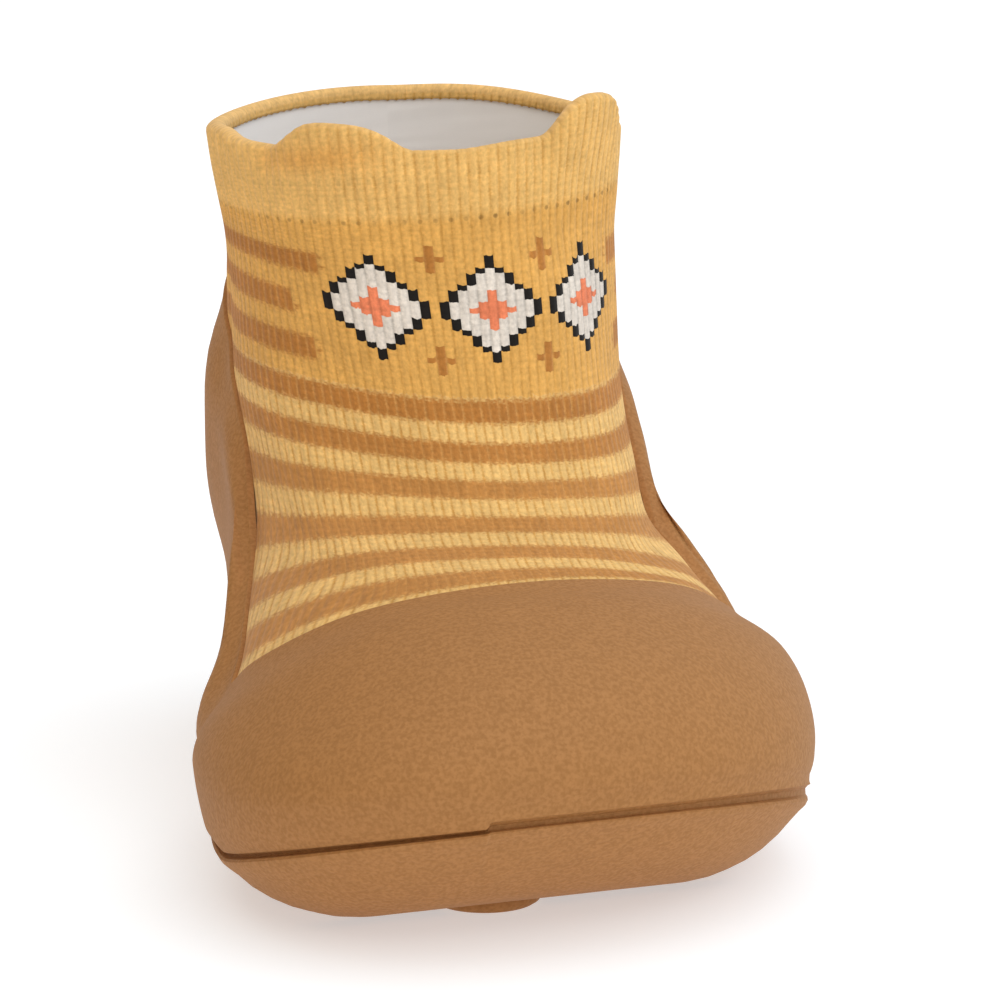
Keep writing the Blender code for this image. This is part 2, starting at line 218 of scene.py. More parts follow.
# Rubber: rows of faces, the lip, which is thin far down but fuller beside the ankle at the outer side,
# and the side below the widest line. Each row there has an inset and a height for the inner half and
# for the outer half, which the two halves of the mould cut a little differently.
RUBBER_COLUMNS = 280
INNER_ROWS = 16
OUTER_ROWS = 26
BULGE_ROWS = 4
BULGE = 0.5
FOOT_LEVELS = (0.25, 0.5, 0.75)
SHARP_ANGLE = math.radians(40.0)
DISC_RINGS = 6
LIP_SEAT = -0.35
LIP_SEAT_REACH = 5.0
LIP_THICKNESS = 0.5
LIP_ROUND = 0.35
LIP_ROWS = 5
LIP_THIN_REACH = 10.4
LIP_FULL_REACH = 3.0
LIP_FULL_SPAN = (-20.0, 0.0, 20.0, 45.0)
SideRow = namedtuple("SideRow", "name inner_inset inner_height outer_inset outer_height")
SIDE_TABLE = (
    ("under the wall", 0.5, 9.4, 0.5, 9.4),
    ("groove brow", 0.75, 8.5, 0.62, 8.75),
    ("groove top", 1.0, 8.0, 0.75, 8.3),
    ("groove roof", 1.6, 7.9, 1.25, 8.2),
    ("groove floor", 1.85, 7.7, 1.75, 7.9),
    ("groove bed", 1.7, 7.5, 1.75, 7.3),
    ("groove foot", 1.0, 7.35, 1.15, 7.0),
    ("groove lip", 0.8, 7.05, 1.0, 6.7),
    ("sole brow", 1.1, 6.4, 1.25, 6.2),
    ("sole top", 1.75, 5.7, 1.85, 5.7),
    ("sole side", 2.6, 4.9, 2.6, 4.9),
    ("sole flank", 3.8, 3.55, 3.8, 3.55),
    ("sole turn", 5.4, 2.3, 5.4, 2.3),
    ("sole shoulder", 7.0, 1.4, 7.0, 1.4),
    ("sole round", 8.8, 0.7, 8.8, 0.7),
    ("sole flat", 10.4, 0.22, 10.4, 0.22),
    ("sole edge", 12.0, 0.0, 12.0, 0.0),
)
SIDE_ROWS = tuple(SideRow(*row) for row in SIDE_TABLE)

# Welt groove: the height of its floor in the table above, the line that it follows around the foot,
# where the mould's halves meet at the toe, and how the outer side fills out and the groove fades there
WELT_FLOOR = 7.7
WELT_HEIGHT = 6.7
WELT_TILT = 0.6
WELT_CLIMBS_FROM = -33.0
WELT_BEND = 3.0
WELT_SLOPES = (0.267, 0.28)
WELT_HEEL_SHARE = 0.6
INNER_TUCK = 1.1
INNER_TUCK_FROM = 11.0
PARTING_AT = math.radians(188.0)
PARTING_HALF_WIDTH = 0.005
PARTING_COLUMNS = (-2.0, -1.0, -0.5, 0.0, 0.5, 1.0, 2.0)
OUTER_FILL = 0.65
OUTER_FILL_SPAN = (3.0, 6.7, 7.5, 9.4)
GROOVE_FADE = 0.65
GROOVE_FADE_SPAN = (6.9, 7.25, 8.1, 8.4)
GROOVE_FADE_SIDE = (0.45, 0.9)

# Insole: columns of faces, and its side, by inset and height above its seat as a share
INSOLE_COLUMNS = 112
INSOLE_SIDE = ((0.9, 0.0), (0.3, 0.06), (0.0, 0.3), (0.0, 0.6), (0.35, 0.86), (1.1, 1.0))

# Knit: stitches, stripes and lozenges, counted in courses from the rim and in wales from the heel, and the
# shares by which gaps, the painted shade at the inner tab's fold and the painted highlight on the rim show
WALE_GATHER = 0.13
WALE_GATHER_RANGE = (5.5, 7.5)
COURSE = 0.725
LOOP_LEAN = 0.35
STRIPE_REPEAT = 8
STRETCH_RANGE = (47.0, 64.0)
STRETCH_FADE = 0.6
STRIPE_SHARE = 0.265
STRIPE_BLUR = 0.09
FIRST_STRIPE = 44
SIDE_BARS = 3
BAR_STAGGER = 3.0
BAR_SLANT = 1.0
BAR_FRAY = 3.0
PANEL_MIDDLE = 168.0
PANEL_HALF = 55.0
PINHOLE_COURSE = 12.4
PINHOLE_HALF_SPACING = 0.75
PINHOLE_HALF_WIDTH = 0.28
PINHOLE_HALF_HEIGHT = 0.45
TURN_COURSE = 4.6
TAB_FOLD_COURSE = -0.3
TAB_FOLD_BEARING = -37.0
SMOOTH_CUFF_RANGE = (200.0, 232.0)
SMOOTH_CUFF_GAPS = 0.7
CUFF_GAPS = 0.3
RIM_GAPS = 0.65
RIM_HIGHLIGHT = 0.6
FOLD_SHADE = 0.6
# Painted shade: how dark the lozenges' yarns are in the gaps between the wales
BEHIND_SHADE = 0.72
STRIPE_FRAY = 2.4
ROW_FRAY = 0.8
GAP_FRAY = 0.4
GAP_STRENGTH = (2.4, -0.45)
GAP_EDGE = (0.24, 0.5)
BAR_EDGE = (-0.3, 0.5)
FOLD_WALES = (10.0, 1.0)
FOLD_COURSES = (4.5, 0.0)
PINHOLE_EDGE = (0.1, 1.3)
PINHOLE_UNEVEN = (1.4, -0.1)
PINHOLE_SHADE = 0.5
PINHOLE_DEPTH = 0.9
DASH_REACH = 8.0
DASH_EDGE = (0.3, 0.1)
DASH_SHADE = 0.1
LOOP_SHADE = (0.05, 0.97)
LOOP_HEIGHT = 0.12
WALE_HEIGHT = 0.6
FUZZ_HEIGHT = 0.5
LOZENGE_REPEAT = 12
LOZENGES = 3
LOZENGE_COURSE = 28
LOZENGE_HALF = (6.0, 9.5)
LOZENGE_LIGHT = 0.82
LOZENGE_ACCENT = 0.36
SPACER_OFFSET = 9.0
SPACER_HALF = (1.6, 2.6)

# Grain of the rubber, weave of the insole and sheen of the textiles, as shares
GRAIN_EDGE = (0.26, 0.74)
FINE_HEIGHT = 0.4
RUBBER_ROUGHNESS = (-0.08, 0.78)
FIBRE_HEIGHT = 0.8
WEAVE_HEIGHT = 0.5
SHEEN_ROUGHNESS = 0.5

# Stage: the floor's size, the camera's nearest distance, and the wide suns, by where each shines and
# its share of the key's strength
FLOOR_SIZE = 30.0
CLIP_START = 0.01
SUN_SPREAD = math.radians(80.0)
SUNS = (
    ("key_light", (-0.12, 0.35, -1.0), 1.0),
    ("front_light", (0.15, 1.0, -0.12), 0.13),
)


def smooth_step(value, low, high):
    """0 below low, 1 above high, and a soft climb between."""
    share = np.clip((value - low) / (high - low), 0.0, 1.0)
    return share * share * (3.0 - 2.0 * share)


def window(value, span):
    """1 between the middle two of a span's four values, 0 outside the outer two, with soft slopes."""
    return smooth_step(value, *span[:2]) * (1.0 - smooth_step(value, *span[2:]))


def blend(first, second, share):
    """From first to second by a share of the way."""
    return first + (second - first) * share


def ring_at(level):
    """The ring table's columns at a level between two rings, on a smooth curve through the rings."""
    level = np.asarray(level, float)
    lower = np.clip(level.astype(int), 0, len(RING_TABLE) - 2)
    share = (level - lower)[..., None]
    here, above = RING_VALUES[lower], RING_VALUES[lower + 1]
    below = np.where(lower[..., None] > 0, RING_VALUES[np.maximum(lower - 1, 0)], 2 * here - above)
    last = lower[..., None] + 2 < len(RING_TABLE)
    beyond = np.where(last, RING_VALUES[np.minimum(lower + 2, len(RING_TABLE) - 1)], 2 * above - here)
    values = 0.5 * (
        2 * here
        + (above - below) * share
        + (2 * below - 5 * here + 4 * above - beyond) * share**2
        + (3 * here - below - 3 * above + beyond) * share**3
    )
    return Ring("", *np.moveaxis(values, -1, 0))


def half_width(along, heel, ball, waist, ring):
    """Half width of a ring at a share of its length: heel curve, waist and toe curve."""
    heel_power = 1.0 + 0.5 * ring.power
    toe = np.clip((along - ring.ball_at) / (1.0 - ring.ball_at), 0.0, 1.0)
    back = np.clip((ring.heel_at - along) / ring.heel_at, 0.0, 1.0)
    middle_length = ring.ball_at - ring.heel_at
    middle = np.clip((along - ring.heel_at) / np.maximum(middle_length, 1e-6), 0.0, 1.0)
    toe_curve = ball * (1.0 - toe**ring.power) ** (1.0 / ring.power)
    heel_curve = heel * (1.0 - back**heel_power) ** (1.0 / heel_power)
    dip = waist * 2.0 * np.clip(middle_length, 0.0, 0.5) * np.sin(math.pi * middle) ** 2
    middle_curve = blend(heel, ball, smooth_step(middle, 0.0, 1.0)) - dip
    return np.where(along > ring.ball_at, toe_curve, np.where(along < ring.heel_at, heel_curve, middle_curve))


def bearing_of(around):
    """Degrees from the toe, positive to the outer side."""
    return 180.0 - np.degrees(around)


def swell_share(around, swell):
    """1 in the middle of a swell of the rim, 0 at its ends and beyond."""
    reach = np.clip(np.abs(bearing_of(around) - swell.bearing) / swell.half_width, 0.0, 1.0)
    return (1.0 - reach**SWELL_POWER) ** 2


def rim_lift(around):
    """How far the swells of the rim raise it at an angle around the foot."""
    return sum(swell.height * swell_share(around, swell) for swell in RIM_SWELLS)


def form(around, level):
    """Points of the foot form, and their place along the foot with the slant taken out."""
    around, level = np.broadcast_arrays(np.asarray(around, float), np.asarray(level, float))
    ring = ring_at(level)
    along = 0.5 - 0.5 * np.cos(around)
    is_outer = np.sin(around) >= 0.0
    half_ball = 0.5 * BALL_WIDTH
    ball = np.where(is_outer, ring.outer, ring.inner) * half_ball
    waist = np.where(is_outer, WAIST_OUT, WAIST_IN)
    width = half_width(along, ring.heel * half_ball, ball, waist, ring)
    x = np.where(is_outer, width, -width) + ring.middle * half_ball
    place = blend(ring.back, ring.front, along) * FORM_LENGTH
    y = place + ring.slant * x * smooth_step(along, *SLANT_RANGE)
    climb = np.clip((along - ring.rise_at) / (1.0 - ring.rise_at), 0.0, 1.0) ** 2
    heel_climb = np.clip(1.0 - 2.0 * along, 0.0, 1.0) ** 2
    share = ring.side_z + (ring.front_z - ring.side_z) * climb + (ring.back_z - ring.side_z) * heel_climb
    z = share * COLLAR_HEIGHT + rim_lift(around) * smooth_step(level, CUFF_SEAM, COLLAR)
    return np.stack([x, y, z], axis=-1), place


def unit(vectors):
    return vectors / np.linalg.norm(vectors, axis=-1, keepdims=True)


def upward(around, level):
    """Unit directions up the foot form."""
    step = 1e-3
    up = form(around, np.asarray(level) + step)[0] - form(around, np.asarray(level) - step)[0]
    return unit(up)


def outward(around, level):
    """Unit normals of the foot form."""
    step = 1e-3
    across = form(around + step, level)[0] - form(around - step, level)[0]
    return unit(np.cross(upward(around, level), across))


def skin(around, level, distance):
    """Points that stand off the foot form by a distance."""
    return form(around, level)[0] + outward(around, level) * np.asarray(distance)[..., None]


def spring(place):
    """How far the toe spring and the heel lift raise the sole at a place along the foot."""
    toe = np.clip((TOE_SPRING_FROM - place) / (TOE_SPRING_FROM + 0.5 * FORM_LENGTH), 0.0, None)
    heel = np.clip((place - HEEL_LIFT_FROM) / (0.5 * FORM_LENGTH - HEEL_LIFT_FROM), 0.0, None)
    return TOE_SPRING * toe**2 + HEEL_LIFT * heel**2


def floor_height(place):
    """Height of the floor inside the rubber."""
    return spring(place) + SOLE_THICKNESS


def underside_height(place):
    """Height of the sole's underside, with its arch."""
    arch = np.clip(1.0 - ((place - ARCH_MIDDLE) / ARCH_HALF_LENGTH) ** 2, 0.0, None)
    return spring(place) + ARCH_RISE * arch**2


def place_of(points):
    """Place along the foot of points of the sole, with the slant taken out."""
    along = 0.5 - points[:, 1] / FORM_LENGTH
    return points[:, 1] - SLANT * points[:, 0] * smooth_step(along, *SLANT_RANGE)


def rubber_edge_level(around):
    """Level of the form where the rubber ends, for each column: the top of the wall or of the toe cap."""
    low = np.full_like(around, WIDEST)
    high = np.full_like(around, CUFF_SEAM)
    wall_low = WALL_LOW + WALL_TILT * np.sin(around)
    for _ in range(HALVINGS):
        middle = 0.5 * (low + high)
        point, place = form(around, middle)
        wall = blend(wall_low, WALL_HIGH, smooth_step(place, WALL_CLIMBS_FROM, WALL_CLIMBS_TO))
        cap = CAP_CORNER_HEIGHT + (CAP_CORNER - place) * CAP_SLOPE + CAP_TILT * point[..., 0]
        covered = point[..., 2] < np.maximum(wall, cap)
        low = np.where(covered, middle, low)
        high = np.where(covered, high, middle)
    return low


def turn_angles(columns):
    """Angles of the mesh columns around the foot, with the first one again at the end."""
    return np.arange(columns + 1) * (2.0 * math.pi / columns)


def disc_rows(around, edge, height, rings):
    """Rings that close an outline to a line along the middle of the foot. height gives z from the place."""
    along = np.clip(0.5 - 0.5 * np.cos(around), *SPINE_RANGE)
    spine = np.zeros_like(edge)
    spine[:, 1] = (0.5 - along) * FORM_LENGTH
    rows = []
    for count in range(1, rings + 1):
        row = edge + (spine - edge) * count / rings
        row[:, 2] = height(place_of(row))
        rows.append(row)
    return rows


def frame_shift():
    """From the form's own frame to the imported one, which is centred on the rubber's box."""
    around = turn_angles(SOLID_COLUMNS)
    edge = rubber_edge_level(around)
    rows = []
    for share in np.linspace(0.0, 1.0, SOLID_WALL_ROWS + 1):
        level = blend(edge, WIDEST, share)
        rows.append(skin(around, level, outer_stand_off(around, level, edge)))
    points = np.concatenate(rows)
    middle = 0.5 * (points.min(axis=0) + points.max(axis=0))
    return np.array([-middle[0], -middle[1], 0.0])


def below_lip(around, level, edge):
    """How far points of the foot form lie from the rubber's lip above them."""
    return np.linalg.norm(form(around, level)[0] - form(around, edge)[0], axis=-1)


def outer_stand_off(around, level, edge):
    """How far the rubber's outside stands off the foot form."""
    grown = smooth_step(below_lip(around, level, edge), 0.0, LIP_TAPER)
    return FIT_GAP + blend(RUBBER_LIP, RUBBER_WALL, grown)


def welt_height(around, place, outer_share):
    """Height of the welt groove: level along the foot, then a straight climb over the toe."""
    ahead = WELT_CLIMBS_FROM - place
    climb = 0.5 * (ahead + np.sqrt(ahead**2 + WELT_BEND**2))
    slope = blend(*WELT_SLOPES, outer_share)
    heel = WELT_HEEL_SHARE * spring(np.maximum(place, 0.0))
    return WELT_HEIGHT + WELT_TILT * np.sin(around) + slope * climb + heel


# Rows of each piece


def rubber_side_rows(around, widest):
    """Rows of the rubber's side, from its widest line over the welt groove to the sole's edge."""
    normal = unit(outward(around, WIDEST)[:, :2])
    to_outer = np.clip(np.sin(around), 0.0, 1.0)
    to_inner = np.clip(-np.sin(around), 0.0, 1.0)
    outer_share = smooth_step(around, PARTING_AT + PARTING_HALF_WIDTH, PARTING_AT - PARTING_HALF_WIDTH)
    outer_share = outer_share * smooth_step(around, 0.0, 2.0 * PARTING_HALF_WIDTH)
    rows = []
    for side in SIDE_ROWS:
        inset = blend(side.inner_inset, side.outer_inset, outer_share)
        height = blend(side.inner_height, side.outer_height, outer_share)
        inset = inset + INNER_TUCK * smooth_step(height, INNER_TUCK_FROM, WELT_FLOOR) * to_inner
        inset = inset - OUTER_FILL * window(height, OUTER_FILL_SPAN) * to_outer**2
        fade = window(height, GROOVE_FADE_SPAN) * smooth_step(to_outer, *GROOVE_FADE_SIDE)
        inset = inset - GROOVE_FADE * fade
        row = widest.copy()
        row[:, :2] -= normal * inset[:, None]
        place = place_of(row)
        welt = welt_height(around, place, outer_share)
        row[:, 2] = blend(underside_height(place), welt, np.minimum(height / WELT_FLOOR, 1.0))
        row[:, 2] += np.maximum(height - WELT_FLOOR, 0.0)
        rows.append(row)
    bulge_rows = []
    for share in np.linspace(0.0, 1.0, BULGE_ROWS + 2)[1:-1]:
        row = blend(widest, rows[0], share)
        row[:, :2] += normal * BULGE * (share - share**2)
        bulge_rows.append(row)
    return bulge_rows + rows


def rubber_rows():
    """Rows of the rubber bottom, from the middle of its floor, over its lip, to that of its underside."""
    parting = PARTING_AT + PARTING_HALF_WIDTH * np.array(PARTING_COLUMNS)
    around = np.sort(np.concatenate([turn_angles(RUBBER_COLUMNS), parting]))
    edge = rubber_edge_level(around)
    wall_foot = skin(around, FEATHER, FIT_GAP)
    floor_edge = wall_foot.copy()
    floor_edge[:, 2] = floor_height(place_of(floor_edge))
    rows = disc_rows(around, floor_edge, floor_height, DISC_RINGS)[::-1] + [floor_edge, wall_foot]
    for level in (*FOOT_LEVELS, WIDEST):
        rows.append(skin(around, level, FIT_GAP))
    for share in np.linspace(0.0, 1.0, INNER_ROWS + 1)[1:]:
        level = blend(WIDEST, edge, share)
        seated = 1.0 - smooth_step(below_lip(around, level, edge), 0.0, LIP_SEAT_REACH)
        rows.append(skin(around, level, blend(FIT_GAP, LIP_SEAT, seated)))
    for turn in np.linspace(0.0, 0.5 * math.pi, LIP_ROWS):
        stand_off = LIP_THICKNESS - LIP_ROUND * (1.0 - math.sin(turn))
        sink = LIP_ROUND * (1.0 - math.cos(turn))
        rows.append(skin(around, edge, stand_off) - upward(around, edge) * sink)
    beside_ankle = window(form(around, edge)[1], LIP_FULL_SPAN) * np.clip(np.sin(around), 0.0, 1.0)
    reach = blend(LIP_THIN_REACH, LIP_FULL_REACH, beside_ankle)
    for share in np.linspace(0.0, 1.0, OUTER_ROWS + 1)[1:]:
        level = blend(edge, WIDEST, share)
        thinned = 1.0 - smooth_step(below_lip(around, level, edge), 0.0, reach)
        thin = (FIT_GAP + RUBBER_LIP - LIP_THICKNESS) * thinned
        rows.append(skin(around, level, outer_stand_off(around, level, edge) - thin))
    rows += rubber_side_rows(around, rows[-1])
    return np.stack(rows + disc_rows(around, rows[-1], underside_height, DISC_RINGS))


def insole_rows(crown):
    """Rows of the insole, from the middle of its underside, round its edge, to the middle of its top."""
    around = turn_angles(INSOLE_COLUMNS)

    def seat(place):
        return floor_height(place) + FIT_GAP

    rows = []
    for inset, share in INSOLE_SIDE:
        row = skin(around, FEATHER, -SOCK_WALL - FIT_GAP - inset)
        row[:, 2] = seat(place_of(row)) + share * INSOLE_THICKNESS
        rows.append(row)
    under = disc_rows(around, rows[0], seat, DISC_RINGS)[::-1]
    top = disc_rows(around, rows[-1], lambda place: seat(place) + INSOLE_THICKNESS, DISC_RINGS)
    for count, row in enumerate(top, 1):
        row[:, 2] += crown * smooth_step(count / DISC_RINGS, 0.0, 1.0)
    return np.stack(under + rows + top)


def wale_of(around, level, wales):
    """Wales counted from the heel, which lie closer together on the front of the foot than at the cuff."""
    gather = WALE_GATHER * (1.0 - smooth_step(level, *WALE_GATHER_RANGE))
    return (around + 0.5 * gather * np.sin(2.0 * around)) * wales / (2.0 * math.pi)


def course_of(around, points, places):
    """Courses of the knit from the rim down, where the leaning planes of the courses meet the points."""
    downs, *others = np.array(FRONT_LINE).T
    side = np.sin(np.radians(bearing_of(around)))
    low = np.full(places.shape, downs[0])
    high = np.full(places.shape, downs[-1])
    for _ in range(HALVINGS):
        middle = 0.5 * (low + high)
        place, height, lean, skew = (np.interp(middle, downs, other) for other in others)
        lean = np.radians(lean)
        rise = points[..., 2] - height - skew * side
        above = (places - place) * np.sin(lean) + rise * np.cos(lean) > 0.0
        high = np.where(above, middle, high)
        low = np.where(above, low, middle)
    return low / COURSE


def wave_sum(waves, around, level=0.0):
    """Waves added up at an angle around the foot and a level of it."""
    return sum(
        wave.strength * np.sin(wave.around * around + wave.level * level + wave.start) for wave in waves
    )


def soft_shape(around, level, edge):
    """Soft creases and swells of the sock: puffed tabs, the pinch beside each tab, and slow waves."""
    puff = sum(swell.puff * swell_share(around, swell) for swell in RIM_SWELLS)
    shape = puff * smooth_step(level, *TAB_PUFF)
    for crease in CREASES:
        pinch = (bearing_of(around) - crease.bearing) / crease.spread
        grown = smooth_step(level, crease.foot - CREASE_FADE, RIM_LEVEL)
        shape = shape - crease.depth * np.exp(-(pinch**2)) * grown
    held = CUFF_HOLD * smooth_step(level, CUFF_SEAM, COLLAR)
    free = smooth_step(level - edge, *UNDULATION_FREE) * (1.0 - held)
    return shape + UNDULATION * wave_sum(SOCK_WAVES, around, level) * free


def rib_strength(count):
    """How strongly each rib of the cuff stands out, uneven from one to the next."""
    return 1.0 + wave_sum(RIB_WAVES, np.arange(count + 1) * GOLDEN_TURN)


def sock_rows(settings):
    """Rows of the sock, their wales and courses, which of them lie on the lining, and how far on the rim.

    They run down the outside from the rim to the feather line, up the lining, and over the rim.
    """
    around = turn_angles(settings.wales * COLUMNS_PER_WALE)
    uneven = rib_strength(settings.wales)
    uneven[-1] = uneven[0]
    edge = rubber_edge_level(around)

    def rib_at(level):
        wale = wale_of(around, level, settings.wales)
        rib = -np.cos(2.0 * math.pi * wale) * np.interp(wale, np.arange(settings.wales + 1), uneven)
        return rib - PAIR_RIB * np.cos(math.pi * wale)

    def relief(level):
        depth = blend(settings.rib_depth, settings.cuff_rib_depth, smooth_step(level, *CUFF_RIBS))
        return rib_at(level) * depth / MM * smooth_step(level - edge, *RIB_FADE)

    made = []

    def add(level, stand_off, lift=0.0, lining=False, rim=0.0):
        shaped = stand_off + soft_shape(around, level, edge)
        row = skin(around, level, shaped) + upward(around, level) * np.asarray(lift)[..., None]
        course = course_of(around, row, form(around, level)[1])
        made.append((row, wale_of(around, level, settings.wales), course, lining, rim))

    levels = np.concatenate(
        [
            np.linspace(RIM_LEVEL, CUFF_SEAM, CUFF_ROWS, endpoint=False),
            np.linspace(CUFF_SEAM, WIDEST, LEG_ROWS),
            (*FOOT_LEVELS[::-1], FEATHER),
        ]
    )
    for level in levels:
        add(level, CUFF_STEP * smooth_step(level, *CUFF_SWELL) + relief(level))
    for level in np.linspace(FEATHER, BAND_FOOT, LINING_ROWS):
        wall = blend(SOCK_WALL, CUFF_WALL - CUFF_STEP, smooth_step(level, *CUFF_THICKENS))
        dip = LINING_DIP * smooth_step(level, BAND_FOOT - LINING_DIP_REACH, BAND_FOOT)
        add(level, dip - wall, lining=True)
    inside = CUFF_STEP - CUFF_WALL
    add(BAND_EDGE, inside + LINING_DIP, lining=True)
    add(BAND_EDGE, inside - INSIDE_RIB * relief(BAND_FOOT), lift=BAND_SCALLOP * rib_at(BAND_FOOT))
    for level in BAND_LEVELS:
        add(level, inside - INSIDE_RIB * relief(level))
    for turn in np.linspace(math.pi, 0.0, ROLL_ROWS + 2)[:-1]:
        stand_off = CUFF_STEP - 0.5 * CUFF_WALL * (1.0 - math.cos(turn))
        outer = blend(ROLL_RIB, 1.0, (0.5 + 0.5 * math.cos(turn)) ** 2)
        rim = min(1.0, 1.0 - RIM_FADE * math.cos(turn))
        add(RIM_LEVEL, stand_off + relief(RIM_LEVEL) * outer, lift=ROLL_RISE * math.sin(turn), rim=rim)
    return [np.array(values) for values in zip(*made, made[0])]


# Meshes


def added(name, add, **options):
    """The object that an add operator makes, named and alone in the selection."""
    bpy.ops.object.select_all(action="DESELECT")
    add(**options)
    made = bpy.context.active_object
    made.name = made.data.name = name
    return made


def wrap_grid(name, points):
    """A grid wrapped on rows of points, with the row and the column of each of its vertices."""
    rows, columns = points.shape[0] - 1, points.shape[1] - 1
    add = bpy.ops.mesh.primitive_grid_add
    piece = added(name, add, x_subdivisions=columns, y_subdivisions=rows, size=1.0)
    flat = np.empty(3 * len(piece.data.vertices))
    piece.data.vertices.foreach_get("co", flat)
    flat = flat.reshape(-1, 3)
    column = np.rint((flat[:, 0] + 0.5) * columns).astype(int)
    row = np.rint((flat[:, 1] + 0.5) * rows).astype(int)
    placed = (points[row, column] + frame_shift()) * MM
    piece.data.vertices.foreach_set("co", placed.ravel())
    piece.data.update()
    return piece, row, column


def close_seams(piece):
    """Merges the points that meet where the wrapped grid's edges come together."""
    bpy.ops.object.mode_set(mode="EDIT")
    bpy.ops.mesh.select_all(action="SELECT")
    bpy.ops.mesh.remove_doubles(threshold=MERGE_DISTANCE)
    bpy.ops.mesh.dissolve_degenerate(threshold=MERGE_DISTANCE)
    bpy.ops.object.mode_set(mode="OBJECT")


def apply_modifier(piece, name):
    bpy.context.view_layer.objects.active = piece
    bpy.ops.object.modifier_apply(modifier=name)


def combine(piece, tool, operation):
    """Cuts a tool out of a piece or joins it on, and removes the tool."""
    step = piece.modifiers.new(tool.name, "BOOLEAN")
    step.operation = operation
    step.object = tool
    apply_modifier(piece, step.name)
    bpy.data.objects.remove(tool, do_unlink=True)


# Finishes


class Finish:
    """The nodes of one material, or of the world."""

    def __init__(self, owner):
        owner.use_nodes = True
        self.owner = owner
        self.tree = owner.node_tree
        self.shader = self.tree.nodes.get("Principled BSDF")

    def node(self, kind, inputs=None, **settings):
        made = self.tree.nodes.new("ShaderNode" + kind)
        for name, value in settings.items():
            setattr(made, name, value)
        for key, value in (inputs or {}).items():
            self.feed(made.inputs[key], value)
        return made

    def feed(self, socket, value):
        if isinstance(value, bpy.types.NodeSocket):
            self.tree.links.new(value, socket)
        elif socket.type == "RGBA":
            socket.default_value = (*value, 1.0)
        else:
            socket.default_value = value

    def math(self, operation, *values):
        return self.node("Math", dict(enumerate(values)), operation=operation).outputs[0]

    def times(self, first, *others):
        for other in others:
            first = self.math("MULTIPLY", first, other)
        return first

    def plus(self, first, second):
        return self.math("ADD", first, second)

    def minus(self, first, second):
        return self.math("SUBTRACT", first, second)

    def apart(self, first, second):
        return self.math("ABSOLUTE", self.minus(first, second))

    def scaled(self, value, gain, offset):
        return self.math("MULTIPLY_ADD", value, gain, offset)

    def diamond(self, across, down, half_across, half_down):
        """How far out a point is in a diamond, with 1 on its sides."""
        return self.plus(self.math("DIVIDE", across, half_across), self.math("DIVIDE", down, half_down))

    def stretched(self, spot, factors):
        return self.node("VectorMath", {0: spot, 1: factors}, operation="MULTIPLY").outputs[0]

    def soft_step(self, value, low, high):
        inputs = {"Value": value, "From Min": low, "From Max": high}
        return self.node("MapRange", inputs, interpolation_type="SMOOTHSTEP").outputs["Result"]

    def mix(self, share, first, second):
        return self.node("Mix", {0: share, 6: first, 7: second}, data_type="RGBA").outputs[2]

    def shade(self, colour, strength):
        return self.node("VectorMath", {0: colour, 3: strength}, operation="SCALE").outputs[0]

    def noise(self, vector, scale, detail=2.0):
        inputs = {"Vector": vector, "Scale": scale, "Detail": detail}
        return self.node("TexNoise", inputs).outputs["Fac"]

    def around_one(self, value, swing):
        """A noise turned into a strength near one."""
        return self.scaled(value, 2.0 * swing, 1.0 - swing)

    def bump(self, height, distance, strength=1.0):
        inputs = {"Height": height, "Distance": distance, "Strength": strength}
        return self.node("Bump", inputs).outputs["Normal"]

    def finish(self, colour, normal, roughness, specular, sheen=0.0):
        for name, value in (
            ("Base Color", colour),
            ("Normal", normal),
            ("Roughness", roughness),
            ("Specular IOR Level", specular),
            ("Sheen Weight", sheen),
            ("Sheen Roughness", SHEEN_ROUGHNESS),
        ):
            self.feed(self.shader.inputs[name], value)
        return self.owner


